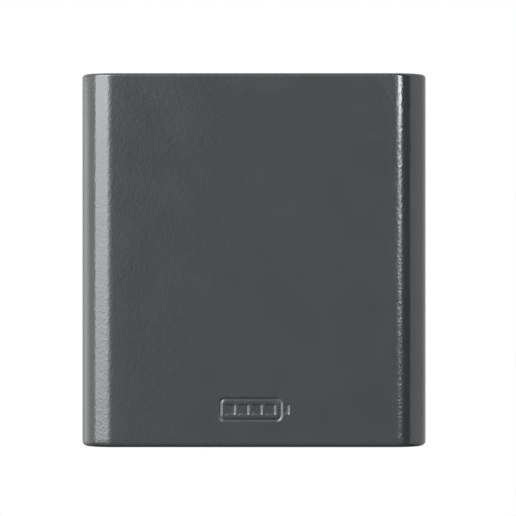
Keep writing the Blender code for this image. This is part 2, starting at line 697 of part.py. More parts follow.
def make_terminal_block():
    """A lever terminal block: four poles, each with a wire entry below and a lever that frees the wire."""
    back = TRAY_INNER_BACK - GAP
    x, y, z = (BLOCK_LEFT, BLOCK_RIGHT), (BLOCK_FRONT, back), (BLOCK_BOTTOM, BLOCK_TOP)
    block = box("terminal_block", "light_plastic", x, y, z, 1.0, segments=1)
    levers = []
    pivot_y, pivot_z = LEVER_PIVOT_Y, LEVER_PIVOT_Z
    for number, x in enumerate(LEVER_PLACES, 1):
        slot_x, lever_x = (x - 3.5, x + 3.5), (x - 3.2, x + 3.2)
        cut(
            block,
            box(f"lever_slot_{number}", None, slot_x, (BLOCK_FRONT - 1, -34.0), (-56.5, pivot_z + 2.6)),
            rod(f"lever_seat_{number}", None, "X", (0, pivot_y, pivot_z), 2.6, slot_x, 20),
            rod(f"wire_entry_{number}", None, "Z", (x, -24, 0), 1.8, (BLOCK_BOTTOM - 1, -50), 16),
        )
        origin = (x, pivot_y, pivot_z)
        name = f"terminal_lever_{number}"
        lever = rod(name, "orange_plastic", "X", (0, pivot_y, pivot_z), 2.2, lever_x, 20, origin)
        blade = box(f"{name}_blade", None, lever_x, (-37.4, -34.8), (-56.0, pivot_z + 0.2))
        grip = box(f"{name}_grip", None, lever_x, (-40.6, -36.0), (-56.0, -52.6), 0.5, "X", 1)
        join(lever, blade, grip)
        levers.append(lever)
    return block, levers


def make_breaker():
    """A breaker whose toggle tips from off, below, to on, above."""
    width, height = 9.0, 15.0
    x, z = (BREAKER_X - width, BREAKER_X + width), (BREAKER_Z - height, BREAKER_Z + height)
    body = box("breaker_body", "black_plastic", x, (BREAKER_FRONT, TRAY_INNER_BACK - GAP), z, 0.8, segments=1)
    centre = (0, BREAKER_PIVOT_Y, BREAKER_Z)
    window = (BREAKER_X - 4, BREAKER_X + 4)
    cut(body, rod("toggle_seat", None, "X", centre, 5.4, window, 24))
    barrel = (BREAKER_X - 3.7, BREAKER_X + 3.7)
    origin = (BREAKER_X, BREAKER_PIVOT_Y, BREAKER_Z)
    toggle = rod("breaker_toggle", "orange_plastic", "X", centre, 5.0, barrel, 24, origin)
    paddle = box("toggle_paddle", None, (-3.2, 3.2), (-12.5, -3.0), (-1.8, 1.8), 0.8, segments=2)
    paddle.location = Vector(origin) * MM + Matrix.Rotation(math.radians(25), 3, "X") @ paddle.location
    paddle.rotation_euler = (math.radians(25), 0, 0)
    join(toggle, paddle)
    return body, toggle


def make_fuse():
    """A pull-out fuse: the carrier holds a blade fuse whose blades enter the base."""
    back = TRAY_INNER_BACK - GAP
    x, z = (FUSE_X - 7, FUSE_X + 7), (FUSE_Z - 13, FUSE_Z + 13)
    base = box("fuse_base", "black_plastic", x, (FUSE_FRONT, back), z, 0.8, segments=1)
    fuse_back, fuse_depth = -28.0, 12.0
    pocket_x, pocket_z = (FUSE_X - 5, FUSE_X + 5), (FUSE_Z - 11.8, FUSE_Z + 11.8)
    cut(base, box("fuse_pocket", None, pocket_x, (FUSE_FRONT - 1, fuse_back + 0.6), pocket_z))
    carrier_x, carrier_z = (FUSE_X - 4.6, FUSE_X + 4.6), (FUSE_Z - 11.4, FUSE_Z + 11.4)
    origin = (FUSE_X, FUSE_FRONT, FUSE_Z)
    carrier_y = (FUSE_FRONT - 1.5, fuse_back)
    carrier = box("fuse_carrier", "light_plastic", carrier_x, carrier_y, carrier_z, origin=origin)
    grip_x, grip_z = (FUSE_X - 6.4, FUSE_X + 6.4), (FUSE_Z - 12.4, FUSE_Z + 12.4)
    plate = box("carrier_plate", None, grip_x, (FUSE_FRONT - 3.0, FUSE_FRONT - 0.6), grip_z, 0.6, segments=1)
    tab = box("carrier_tab", None, (FUSE_X - 1.6, FUSE_X + 1.6), (-52.0, -44.0), (FUSE_Z - 8, FUSE_Z + 8), 1.0, "X")
    join(carrier, plate, tab)
    room = (fuse_back - fuse_depth - GAP, fuse_back + 1)
    cut(carrier, box("carrier_room", None, (FUSE_X - 2.8, FUSE_X + 2.8), room, (FUSE_Z - 9.8, FUSE_Z + 9.8)))
    fuse_y = (fuse_back - fuse_depth, fuse_back - 1.0)
    body_x, body_z = (FUSE_X - 2.5, FUSE_X + 2.5), (FUSE_Z - 9.5, FUSE_Z + 9.5)
    fuse = box("blade_fuse", "green_fuse", body_x, fuse_y, body_z, 0.6, segments=1, origin=origin)
    for number, z in enumerate((FUSE_Z - 6.4, FUSE_Z + 6.4)):
        blade = box(f"fuse_blade_{number + 1}", None, (FUSE_X - 0.4, FUSE_X + 0.4), (-31, -20), (z - 2.6, z + 2.6))
        join(fuse, blade)
        slot = box(f"blade_slot_{number + 1}", None, (FUSE_X - 0.8, FUSE_X + 0.8), (-29, -18), (z - 3, z + 3))
        cut(base, slot)
    return base, carrier, fuse


# Bay floor


def make_glands():
    """Two M16 cable glands, closed with rubber plugs because no cable is fitted."""
    pieces = []
    flange_top = TRAY_BOTTOM - GAP
    nut_z = (BAY_FLOOR + GAP, BAY_FLOOR + GAP + 4)
    flange_z = (flange_top - 5, flange_top)
    tip = -97.0
    for number, x in enumerate(GLAND_PLACES, 1):
        at = (x, FLOOR_ROW_Y, 0)
        outer = [(0, -71), (THREAD_RADIUS, -71), (THREAD_RADIUS, -83), (10, -84), (10, -92), (7.5, tip), (0, tip)]
        gland = turned(f"cable_gland_{number}", "light_plastic", outer, at, steps=20)
        join(
            gland,
            rod(f"gland_flange_{number}", None, "Z", at, 11.5, flange_z, 6),
            rod(f"gland_nut_{number}", None, "Z", at, 11.5, nut_z, 6),
        )
        cut(gland, rod(f"gland_bore_{number}", None, "Z", at, 4.5, (tip - 1, -70), 20))
        head = tip - GAP
        plug = [(0, head + 14), (4.1, head + 14), (4.1, head), (6, head), (6, head - 1), (4.6, head - 2), (0, head - 2)]
        pieces += [gland, turned(f"gland_plug_{number}", "rubber", plug, at, steps=20)]
    return pieces


def make_vent():
    """A screwed vent whose membrane lets the chamber breathe."""
    top = TRAY_BOTTOM - GAP
    profile = [(0, -73), (VENT_THREAD_RADIUS, -73), (VENT_THREAD_RADIUS, top), (8.5, top)]
    profile += [(8.5, top - 3), (7.5, top - 4), (0, top - 4)]
    vent = turned("vent_plug", "light_plastic", profile, (VENT_X, FLOOR_ROW_Y, 0), steps=24)
    for number, turn in enumerate((0, 60, 120)):
        slot = box(f"vent_slot_{number + 1}", None, (-10, 10), (-0.7, 0.7), (-0.6, 0.6))
        slot.location = Vector((VENT_X, FLOOR_ROW_Y, top - 4)) * MM
        slot.rotation_euler = (0, 0, math.radians(turn))
        cut(vent, slot)
    return vent


def make_button():
    """The power button: a plunger in a bezel, pushed out by a spring."""
    at = (BUTTON_X, FLOOR_ROW_Y, 0)
    flange, face, roof = TRAY_BOTTOM - GAP, TRAY_BOTTOM - 2.8, -66.0
    lip, collar_bottom, plunger_top = face + 1.5, face + 1.8, -76.0
    bezel_profile = [
        (0, roof),
        (THREAD_RADIUS, roof),
        (THREAD_RADIUS, flange),
        (11, flange),
        (11, face + 0.6),
        (10.4, face),
        (5.5, face),
        (5.5, lip),
        (6.5, lip),
        (6.5, roof - 2),
        (0, roof - 2),
    ]
    bezel = turned("button_bezel", "black_plastic", bezel_profile, at, steps=24)
    tip = face - 2.7
    cap_profile = [
        (0, plunger_top),
        (6.1, plunger_top),
        (6.1, collar_bottom),
        (5.1, collar_bottom),
        (5.1, tip + 0.6),
        (4.5, tip),
        (0, tip),
    ]
    cap = turned("button_cap", "rubber", cap_profile, at, steps=24)
    wire_radius, coil_radius, turns = 0.45, 4.0, 5
    low, high = plunger_top + GAP + wire_radius, roof - 2 - GAP - wire_radius
    count = turns * 8
    helix = []
    for step in range(count + 1):
        angle = math.tau * turns * step / count
        height = low + (high - low) * step / count
        helix.append((at[0] + coil_radius * math.cos(angle), at[1] + coil_radius * math.sin(angle), height))
    return bezel, cap, wire("button_spring", "spring_steel", helix, wire_radius)


def make_port():
    """A service socket with a hinged cap; the cap's plug fills the socket's mouth."""
    flange_z, neck_top = (TRAY_BOTTOM - 3.3, TRAY_BOTTOM - GAP), -69.0
    y = FLOOR_ROW_Y
    port = box("service_port", "black_plastic", (PORT_X - 13, PORT_X + 13), (y - 10, -20.4), flange_z, 1.0, "Z", 2)
    neck = box("port_neck", None, (PORT_X - 8, PORT_X + 8), (y - 5, y + 5), (flange_z[0] + 1, neck_top))
    join(port, neck)
    for number, side in enumerate((-1, 1)):
        lug_x = sorted((PORT_X + side * 8, PORT_X + side * 11))
        lug_y = (PORT_HINGE_Y - 1.9, PORT_HINGE_Y + 1.9)
        upper = box(f"port_lug_{number + 1}", None, lug_x, lug_y, (PORT_HINGE_Z, flange_z[0] + 1))
        lower = rod(f"port_lug_end_{number + 1}", None, "X", (0, PORT_HINGE_Y, PORT_HINGE_Z), 1.895, lug_x, 20)
        join(port, upper, lower)
    pin_x = (PORT_X - 12, PORT_X + 12)
    cut(
        port,
        box("socket_room", None, (PORT_X - 6.5, PORT_X + 6.5), (y - 3.5, y + 3.5), (flange_z[0] - 1, -71)),
        rod("hinge_bore", None, "X", (0, PORT_HINGE_Y, PORT_HINGE_Z), 1.0, pin_x, 16),
    )
    origin = (PORT_X, PORT_HINGE_Y, PORT_HINGE_Z)
    plate_z = (flange_z[0] - GAP - 2.4, flange_z[0] - GAP)
    cap = box("port_cap", "rubber", (PORT_X - 11, PORT_X + 11), (y - 9.5, -24.9), plate_z, 1.2, "Z", 2, origin)
    centre = (0, PORT_HINGE_Y, PORT_HINGE_Z)
    join(
        cap,
        box("cap_plug", None, (PORT_X - 5.9, PORT_X + 5.9), (y - 2.9, y + 2.9), (plate_z[1] - 1, plate_z[1] + 2.6)),
        box("cap_web", None, (PORT_X - 7.4, PORT_X + 7.4), (-25.6, PORT_HINGE_Y), (plate_z[0] + 0.2, PORT_HINGE_Z + 0.6)),
        rod("cap_knuckle", None, "X", centre, 1.7, (PORT_X - 7.6, PORT_X + 7.6), 20),
        rod("cap_pin", None, "X", centre, 0.9, (PORT_X - 10.8, PORT_X + 10.8), 16),
    )
    return port, cap


# Assembly


def main():
    clear_scene()
    cover = make_hood()
    fixed = [make_rear_housing(), *make_lid(), *make_clips(), *make_hanging()]
    fixed += [*make_cells(), *make_holders(), *make_busbars(), *make_board(), *make_leads()]
    fixed += [*make_glands(), make_vent()]
    block, levers = make_terminal_block()
    breaker, toggle = make_breaker()
    fuse_base, carrier, fuse = make_fuse()
    bezel, button, spring = make_button()
    port, cap = make_port()
    fixed += [block, breaker, fuse_base, bezel, spring, port]
    bracket = carry("bracket_origin", (0, 0, 0), None, [make_bracket()])
    unit = carry("unit_lift", (0, 0, HOOK_BOTTOM), bracket, fixed)
    carry("cover_pull", (0, HOOD_FRONT, 0), unit, [cover])
    for number, lever in enumerate(levers, 1):
        carry(f"lever_{number}_pivot", lever.location / MM, unit, [lever])
    carry("toggle_pivot", toggle.location / MM, unit, [toggle])
    carry("fuse_slide", carrier.location / MM, unit, [carrier, fuse])
    carry("button_press", (BUTTON_X, FLOOR_ROW_Y, 0), unit, [button])
    carry("cap_hinge", cap.location / MM, unit, [cap])


main()
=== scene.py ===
"""Looks of the wall battery unit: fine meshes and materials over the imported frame, and a photo studio."""

import json
import math

import bmesh
import bpy
import numpy as np
from mathutils import Matrix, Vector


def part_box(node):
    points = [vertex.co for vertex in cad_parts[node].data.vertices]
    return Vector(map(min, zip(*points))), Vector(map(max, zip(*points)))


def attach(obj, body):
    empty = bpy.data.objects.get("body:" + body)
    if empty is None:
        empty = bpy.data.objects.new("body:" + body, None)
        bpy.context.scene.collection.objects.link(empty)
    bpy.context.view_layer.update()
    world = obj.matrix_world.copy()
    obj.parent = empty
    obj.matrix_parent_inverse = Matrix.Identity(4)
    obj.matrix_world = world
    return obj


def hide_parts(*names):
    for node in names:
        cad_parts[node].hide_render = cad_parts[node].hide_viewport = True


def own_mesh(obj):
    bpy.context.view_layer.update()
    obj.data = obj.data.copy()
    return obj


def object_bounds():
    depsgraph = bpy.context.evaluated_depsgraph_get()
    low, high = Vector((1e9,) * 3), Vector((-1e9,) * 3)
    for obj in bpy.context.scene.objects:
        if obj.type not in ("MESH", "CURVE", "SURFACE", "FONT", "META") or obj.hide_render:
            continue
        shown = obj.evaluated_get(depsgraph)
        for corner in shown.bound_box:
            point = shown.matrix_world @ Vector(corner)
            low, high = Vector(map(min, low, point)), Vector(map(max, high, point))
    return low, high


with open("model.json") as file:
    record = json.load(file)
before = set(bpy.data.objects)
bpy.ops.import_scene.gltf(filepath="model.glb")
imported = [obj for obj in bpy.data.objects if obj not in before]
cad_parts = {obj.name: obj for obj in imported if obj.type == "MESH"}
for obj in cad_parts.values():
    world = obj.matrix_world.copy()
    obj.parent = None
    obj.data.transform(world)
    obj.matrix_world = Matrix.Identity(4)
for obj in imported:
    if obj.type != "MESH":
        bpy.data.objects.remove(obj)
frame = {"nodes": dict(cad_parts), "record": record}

MM = 0.001
CAD_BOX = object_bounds()
NODES = frame["nodes"]
BODY_OF = {node: body for body, nodes in frame["record"]["behaviour"]["bodies"].items() for node in nodes}
SLOT_OF = {entry["node"]: entry["material_slot"] for entry in frame["record"]["subparts"]}

# Hood, in millimetres; its outer sizes come from the frame
WALL = 1.5
SIDE_RADIUS, TOP_RADIUS, BOTTOM_RADIUS, INNER_RADIUS = 17.8, 2.0, 2.8, 0.6
NOTCH_X, NOTCH_FRONT, NOTCH_RADIUS = 78.0, -52.0, 6.0
SIGN_WIDTH, SIGN_HEIGHT, SIGN_Z, SIGN_DEPTH, SIGN_SLOPE = 39.0, 13.6, -81.7, 0.65, 0.9

# Studio, in metres
LENS, SENSOR = 215.0, 36.0
HOOD_SHARE = 0.6652  # of the picture's width
PICTURE_SHIFT = (0.0077, 0.0043)
FLOOR_DROP, FLOOR_SIDE = 4.5, 20.0  # far enough down for a camera that looks up from below


# Node trees


class Nodes:
    """Short calls for building a node tree; each returns an output socket where the node has one."""

    def __init__(self, tree):
        self.tree = tree
        tree.nodes.clear()

    def add(self, kind, inputs=(), output=0, **settings):
        node = self.tree.nodes.new(kind)
        for key, value in settings.items():
            setattr(node, key, value)
        for key, value in dict(inputs).items():
            self.put(node.inputs[key], value)
        return node.outputs[output] if node.outputs else None

    def put(self, socket, value):
        if isinstance(value, bpy.types.NodeSocket):
            self.tree.links.new(value, socket)
        else:
            socket.default_value = value

    def maths(self, operation, a, b=0.0):
        return self.add("ShaderNodeMath", {0: a, 1: b}, operation=operation)

    def ramp(self, value, start, end, low=0.0, high=1.0):
        """A smooth step from low to high as value goes from start to end."""
        inputs = {"Value": value, "From Min": start, "From Max": end, "To Min": low, "To Max": high}
        return self.add("ShaderNodeMapRange", inputs, interpolation_type="SMOOTHSTEP")

    def band(self, value, start, end, soft_start, soft_end):
        """1 between start and end, falling to 0 across the two soft widths."""
        rise = self.ramp(value, start - soft_start / 2, start + soft_start / 2)
        fall = self.ramp(value, end - soft_end / 2, end + soft_end / 2, 1.0, 0.0)
        return self.maths("MULTIPLY", rise, fall)

    def noise(self, vector, scale, detail=2.0, roughness=0.5):
        inputs = {"Vector": vector, "Scale": scale, "Detail": detail, "Roughness": roughness}
        return self.add("ShaderNodeTexNoise", inputs)

    def mix(self, factor, first, second):
        node = self.tree.nodes.new("ShaderNodeMix")
        node.data_type = "RGBA"
        for number, value in ((0, factor), (6, (*first, 1.0)), (7, (*second, 1.0))):
            self.put(node.inputs[number], value)
        return node.outputs[2]


# Materials


def make_surface(name, colour, roughness, metallic=0.0, grains=(), mottle=0.1, mottle_scale=60.0,
                 spread=0.05, coat=0.0, coat_roughness=0.1, specular=0.5):
    """Colour and roughness that vary a little, and bump from grains of (size in mm, depth in mm)."""
    material = bpy.data.materials.new(name)
    material.use_nodes = True
    nodes = Nodes(material.node_tree)
    place = nodes.add("ShaderNodeTexCoord", output="Object")
    dark = [channel * (1 - mottle) for channel in colour]
    light = [min(channel * (1 + mottle), 1.0) for channel in colour]
    cloud = nodes.ramp(nodes.noise(place, mottle_scale, 4.0, 0.6), 0.3, 0.7)
    tone = nodes.mix(cloud, dark, light)
    patches = nodes.noise(place, mottle_scale * 2.3, 3.0)
    rough = nodes.ramp(patches, 0.3, 0.7, roughness - spread, roughness + spread)
    shader = {
        "Base Color": tone,
        "Roughness": rough,
        "Metallic": metallic,
        "Specular IOR Level": specular,
        "Coat Weight": coat,
        "Coat Roughness": coat_roughness,
    }
    for size, depth in grains:
        height = nodes.noise(place, 1 / (size * MM), 2.0, 0.5)
        bump = {"Height": height, "Strength": 1.0, "Distance": depth * MM}
        if "Normal" in shader:
            bump["Normal"] = shader["Normal"]
        shader["Normal"] = shader["Coat Normal"] = nodes.add("ShaderNodeBump", bump)
    surface = nodes.add("ShaderNodeBsdfPrincipled", shader)
    nodes.add("ShaderNodeOutputMaterial", {"Surface": surface})
    return material


SURFACES = {
    "grey_coat": dict(colour=(0.0160, 0.0164, 0.0172), roughness=0.13, grains=[(3.0, 0.03), (1.3, 0.08)],
                      mottle=0.05, mottle_scale=30.0, spread=0.02, specular=0.7),
    "housing_plastic": dict(colour=(0.030, 0.031, 0.033), roughness=0.46, grains=[(0.9, 0.04), (0.3, 0.02)],
                            mottle=0.05, mottle_scale=400.0, spread=0.03),
    "light_plastic": dict(colour=(0.22, 0.225, 0.23), roughness=0.5, grains=[(0.9, 0.05), (0.35, 0.03)],
                          mottle=0.05),
    "black_plastic": dict(colour=(0.016, 0.016, 0.017), roughness=0.42, grains=[(0.4, 0.02)], mottle=0.15),
    "orange_plastic": dict(colour=(0.36, 0.085, 0.012), roughness=0.4, grains=[(0.6, 0.02)], mottle=0.05),
    "green_fuse": dict(colour=(0.05, 0.40, 0.12), roughness=0.2, grains=[(0.8, 0.01)], mottle=0.08, coat=0.3),
    "rubber": dict(colour=(0.014, 0.014, 0.014), roughness=0.72, grains=[(0.3, 0.03)], mottle=0.2),
    "zinc_steel": dict(colour=(0.50, 0.51, 0.53), roughness=0.36, metallic=1.0, grains=[(2.5, 0.01)],
                       mottle=0.1, mottle_scale=120.0, spread=0.1),
    "spring_steel": dict(colour=(0.42, 0.42, 0.43), roughness=0.26, metallic=1.0, grains=[(1.5, 0.01)]),
    "nickel": dict(colour=(0.62, 0.59, 0.53), roughness=0.3, metallic=1.0, grains=[(1.0, 0.01)]),
    "bare_aluminium": dict(colour=(0.60, 0.61, 0.62), roughness=0.4, metallic=1.0, grains=[(0.8, 0.02)]),
    "cell_sleeve": dict(colour=(0.012, 0.08, 0.18), roughness=0.3, grains=[(4.0, 0.02)], mottle=0.05,
                        coat=0.3),
    "board_laminate": dict(colour=(0.008, 0.09, 0.04), roughness=0.35, grains=[(0.9, 0.02)], coat=0.4),
    "copper_winding": dict(colour=(0.60, 0.25, 0.09), roughness=0.3, metallic=1.0, grains=[(1.2, 0.1)]),
    "red_insulation": dict(colour=(0.45, 0.02, 0.02), roughness=0.4, grains=[(1.0, 0.02)]),
    "black_insulation": dict(colour=(0.02, 0.02, 0.02), roughness=0.4, grains=[(1.0, 0.02)]),
}
MATERIALS = {name: make_surface(name, **settings) for name, settings in SURFACES.items()}


# New pieces


def finish_mesh(bm, name):
    """Turn the faces outwards and hand the bmesh over as a smooth mesh."""
    bmesh.ops.recalc_face_normals(bm, faces=bm.faces)
    mesh = bpy.data.meshes.new(name)
    bm.to_mesh(mesh)
    bm.free()
    mesh.shade_smooth()
    return mesh


def add_piece(name, mesh, node):
    """Link a new piece that stands for a CAD node, with that node's body, slot and finish."""
    piece = bpy.data.objects.new(name, mesh)
    bpy.context.scene.collection.objects.link(piece)
    mesh.materials.append(MATERIALS[SLOT_OF[node]])
    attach(piece, BODY_OF[node])
    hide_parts(node)
    return piece


# Hood


def u_line(half_x, front, back, radius, fractions):
    """Points round a U: up the left side from the back, along the front and down the right side."""
    sides, arcs = 6, 22
    rising = np.linspace(back, front + radius, sides, endpoint=False)
    left = np.stack([np.full(sides, -half_x), rising], axis=1)
    angles = np.radians(np.linspace(180, 270, arcs, endpoint=False))
    centre = np.array([-half_x + radius, front + radius])
    corner = centre + radius * np.stack([np.cos(angles), np.sin(angles)], axis=1)
    face = np.stack([fractions * (half_x - radius), np.full(len(fractions), front)], axis=1)
    half = np.concatenate([left, corner])
    mirrored = half[::-1] * np.array([-1, 1])
    return np.concatenate([half, face, mirrored])


def graded(low, high, fine_low, fine_high, step, coarse):
    """Values from low to high, closely spaced between fine_low and fine_high."""
    fine = np.arange(fine_low, fine_high + step / 2, step)
    before = np.linspace(low, fine_low, coarse, endpoint=False)
    after = np.linspace(high, fine[-1], coarse, endpoint=False)[::-1]
    return np.concatenate([before, fine, after])


def box_distance(x, z, centre, half, radius):
    """Signed distance from a rounded rectangle, negative inside."""
    across = np.abs(x - centre[0]) - half[0] + radius
    up = np.abs(z - centre[1]) - half[1] + radius
    outside = np.hypot(np.maximum(across, 0), np.maximum(up, 0))
    return outside + np.minimum(np.maximum(across, up), 0) - radius


def sign_depth(x, z):
    """Depth of the sunk battery sign: an outline, its terminal and four charge bars, with sloping sides."""
    stroke, terminal, spacing, bars = 2.2, 3.0, 1.5, 4
    height = SIGN_HEIGHT / 2
    width = (SIGN_WIDTH - terminal - 0.8) / 2
    middle = -SIGN_WIDTH / 2 + width
    z = z - SIGN_Z
    ring = box_distance(x, z, (middle, 0), (width - stroke / 2, height - stroke / 2), 2.4)
    outline = np.abs(ring) - stroke / 2
    tip = box_distance(x, z, ((SIGN_WIDTH - terminal) / 2, 0), (terminal / 2, 2.9), 0.8)
    distance = np.minimum(outline, tip)
    inside = 2 * (width - stroke - spacing)
    bar = (inside - (bars - 1) * spacing) / bars
    for number in range(bars):
        place = middle - inside / 2 + bar / 2 + number * (bar + spacing)
        shape = box_distance(x, z, (place, 0), (bar / 2, height - stroke - spacing), 0.8)
        distance = np.minimum(distance, shape)
    share = np.clip(-distance / SIGN_SLOPE, 0, 1)
    return SIGN_DEPTH * share * share * (3 - 2 * share)


def hood_levels(half_x, z, front, back, radius, radii, notch, fractions, heights):
    """The U lines of one side of the hood's wall, from the notch across the bottom, up and over the top."""
    bottom, top = radii
    lines = [(u_line(notch[0], notch[1], back, notch[2], fractions), z[0])]
    for angle in np.radians(np.linspace(0, 90, 9)):
        inset = bottom * (1 - math.sin(angle))
        ring = u_line(half_x - inset, front + inset, back, radius - inset, fractions)
        lines.append((ring, z[0] + bottom * (1 - math.cos(angle))))
    wall_low, wall_high = z[0] + bottom, z[1] - top
    ring = u_line(half_x, front, back, radius, fractions)
    for share in heights:
        lines.append((ring, wall_low + share * (wall_high - wall_low)))
    for angle in np.radians(np.linspace(0, 90, 9)):
        inset = top * (1 - math.cos(angle))
        ring = u_line(half_x - inset, front + inset, back, radius - inset, fractions)
        lines.append((ring, z[1] - top * (1 - math.sin(angle))))
    rim = lines[-1][0]
    for share in (0.75, 0.5, 0.25, 0.0):
        lines.append((rim * share + np.array([0, back * (1 - share)]), z[1]))
    return np.array([np.column_stack([line, np.full(len(line), height)]) for line, height in lines])


def make_hood():
    low, high = (np.array(corner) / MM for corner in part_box("front_cover"))
    half_x, front, back = high[0], low[1], high[1]
    straight = half_x - SIDE_RADIUS
    reach = SIGN_WIDTH / 2 + 1.5
    fractions = graded(-straight, straight, -reach, reach, 0.3, 6) / straight
    wall_low, wall_high = low[2] + BOTTOM_RADIUS, high[2] - TOP_RADIUS
    sign = SIGN_HEIGHT / 2 + 1.2
    heights = graded(wall_low, wall_high, SIGN_Z - sign, SIGN_Z + sign, 0.3, 5)
    heights = ((heights - wall_low) / (wall_high - wall_low))[1:-1]
    outer = hood_levels(half_x, (low[2], high[2]), front, back, SIDE_RADIUS, (BOTTOM_RADIUS, TOP_RADIUS),
                        (NOTCH_X, NOTCH_FRONT, NOTCH_RADIUS), fractions, heights)
    inner = hood_levels(half_x - WALL, (low[2] + WALL, high[2] - WALL), front + WALL, back,
                        SIDE_RADIUS - WALL, (BOTTOM_RADIUS - WALL, INNER_RADIUS),
                        (NOTCH_X, NOTCH_FRONT, NOTCH_RADIUS), fractions, heights)
    on_face = np.abs(outer[:, :, 1] - front) < 1e-6
    outer[:, :, 1] += np.where(on_face, sign_depth(outer[:, :, 0], outer[:, :, 2]), 0)
    levels, across = outer.shape[:2]
    points = np.concatenate([outer.reshape(-1, 3), inner.reshape(-1, 3)]) * MM
    skin = levels * across
    faces = []
    for level in range(levels - 1):
        for place in range(across - 1):
            a = level * across + place
            corners = (a, a + 1, a + across + 1, a + across)
            faces.append(corners)
            faces.append(tuple(corner + skin for corner in reversed(corners)))
        for end, turn in ((0, 1), (across - 1, -1)):
            a = level * across + end
            faces.append((a, a + across, a + across + skin, a + skin)[::turn])
    for place in range(across - 1):
        faces.append((place + 1, place, place + skin, place + 1 + skin))
    draft = bpy.data.meshes.new("hood_draft")
    draft.from_pydata(points.tolist(), [], faces)
    bm = bmesh.new()
    bm.from_mesh(draft)
    bpy.data.meshes.remove(draft)
    bmesh.ops.remove_doubles(bm, verts=bm.verts, dist=1e-7)
    bmesh.ops.dissolve_degenerate(bm, dist=1e-8, edges=bm.edges)
    weight = bm.edges.layers.float.new("bevel_weight_edge")
    for edge in bm.edges:
        if len(edge.link_faces) == 2 and edge.calc_face_angle() > math.radians(60):
            edge[weight] = 1.0
    hood = add_piece("hood_shell", finish_mesh(bm, "hood_shell"), "front_cover")
    bevel = hood.modifiers.new("rim", "BEVEL")
    bevel.limit_method = "WEIGHT"
    bevel.width = 0.35 * MM
    bevel.segments = 3
    bevel.harden_normals = True


# Turned pieces


def soften(profile, radius, pieces=4):
    """The profile with each inner corner replaced by a small curve."""
    points = [np.array(point, float) for point in profile]
    curve = [points[0]]
    for before, corner, after in zip(points, points[1:], points[2:]):
        reach = [min(radius, 0.45 * np.linalg.norm(end - corner)) for end in (before, after)]
        start, stop = (
            corner + (end - corner) * length / np.linalg.norm(end - corner)
            for end, length in zip((before, after), reach)
        )
        for t in np.linspace(0, 1, pieces + 1):
            curve.append((1 - t) ** 2 * start + 2 * t * (1 - t) * corner + t**2 * stop)
    return [*curve, points[-1]]


def turn(name, node, profile, steps=96, shape=None, axis="Z", edge=0.25):
    """A turned piece from (radius, height) points, heights counted from the low end of the node's box.

    The profile runs from the top down its outside and may return up a bore. shape changes the radius and
    height at an angle.
    """
    low, high = (np.array(corner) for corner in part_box(node))
    ring = profile[0][0] > 0
    line = soften([*profile, profile[0]] if ring else profile, edge)
    line = line[:-1] if ring else line
    bm = bmesh.new()
    rows = []
    for radius, height in line:
        if radius < 1e-6:
            rows.append([bm.verts.new((0, 0, height * MM))] * steps)
            continue
        row = []
        for angle in np.arange(steps) * math.tau / steps:
            r, h = shape(angle, radius, height) if shape else (radius, height)
            row.append(bm.verts.new((r * math.cos(angle) * MM, r * math.sin(angle) * MM, h * MM)))
        rows.append(row)
    pairs = list(zip(rows, rows[1:]))
    if ring:
        pairs.append((rows[-1], rows[0]))
    for upper, lower in pairs:
        for number in range(steps):
            after = (number + 1) % steps
            corners = dict.fromkeys([upper[number], lower[number], lower[after], upper[after]])
            if len(corners) > 2:
                bm.faces.new(corners)
    mesh = finish_mesh(bm, name)
    mesh.set_sharp_from_angle(angle=math.radians(50))
    piece = add_piece(name, mesh, node)
    middle = (low + high) / 2
    if axis == "Y":  # the top of the profile looks along -Y
        piece.location = (middle[0], high[1], middle[2])
        piece.rotation_euler = (math.radians(90), 0, 0)
    else:
        piece.location = (middle[0], middle[1], low[2])


def make_glands():
    """Cable glands: a thread with its lock nut inside the bay, a hexagon flange and a ribbed dome nut."""
    corner, thread, bore = 11.5, 8.0, 4.5
    flat = corner * math.cos(math.radians(30))
    top, nut, flange, dome = 26.0, (20.8, 24.8), (12.7, 17.7), (5.4, 12.0)
    pitch, thread_depth = 1.5, 0.35
    ribs, rib_depth = 18, 0.45
    sixth = math.radians(60)

    def shape(angle, radius, height):
        if radius > bore + 0.1 and any(low <= height <= high for low, high in (nut, flange)):
            return min(radius, flat / math.cos((angle % sixth) - sixth / 2)), height
        if radius > 9 and dome[0] < height < dome[1]:
            valley = (0.5 + 0.5 * math.cos(ribs * angle)) ** 4
            return radius - rib_depth * valley, height
        if abs(radius - thread) < 0.1 and height > flange[1]:
            return radius - thread_depth * abs((height / pitch + angle / math.tau) % 1 * 2 - 1), height
        return radius, height

    above = [(thread, height) for height in np.arange(top, nut[1], -0.15)]
    below = [(thread, height) for height in np.arange(nut[0], flange[1], -0.15)]
    profile = [
        (bore, top), *above, (thread, nut[1]), (corner - 1.3, nut[1]), (corner, nut[1] - 0.7),
        (corner, nut[0] + 0.7), (corner - 1.3, nut[0]), *below, (thread, flange[1]),
        (corner - 1.0, flange[1]), (corner, flange[1] - 0.6), (corner, flange[0] + 0.6),
        (corner - 1.3, flange[0]), (9.2, flange[0]),
        (9.2, dome[1] + 0.3), (10.0, dome[1]), (10.0, 9.0), (10.0, dome[0]), (9.6, 4.6), (8.9, 2.2),
        (8.0, 0.5), (7.3, 0.0), (5.2, 0.0), (bore, 0.8), (bore, 14.0),
    ]
    plug = [
        (0, 16), (3.8, 16), (4.1, 15.6), (4.1, 2.0), (6, 2.0), (6, 1.0), (5.2, 0.3), (4.2, 0), (2.6, 0),
        (2.2, 0.5), (0, 0.6),
    ]
    for number in (1, 2):
        turn(f"gland_{number}", f"cable_gland_{number}", profile, shape=shape, edge=0.2)
        turn(f"plug_of_gland_{number}", f"gland_plug_{number}", plug, steps=64, edge=0.35)


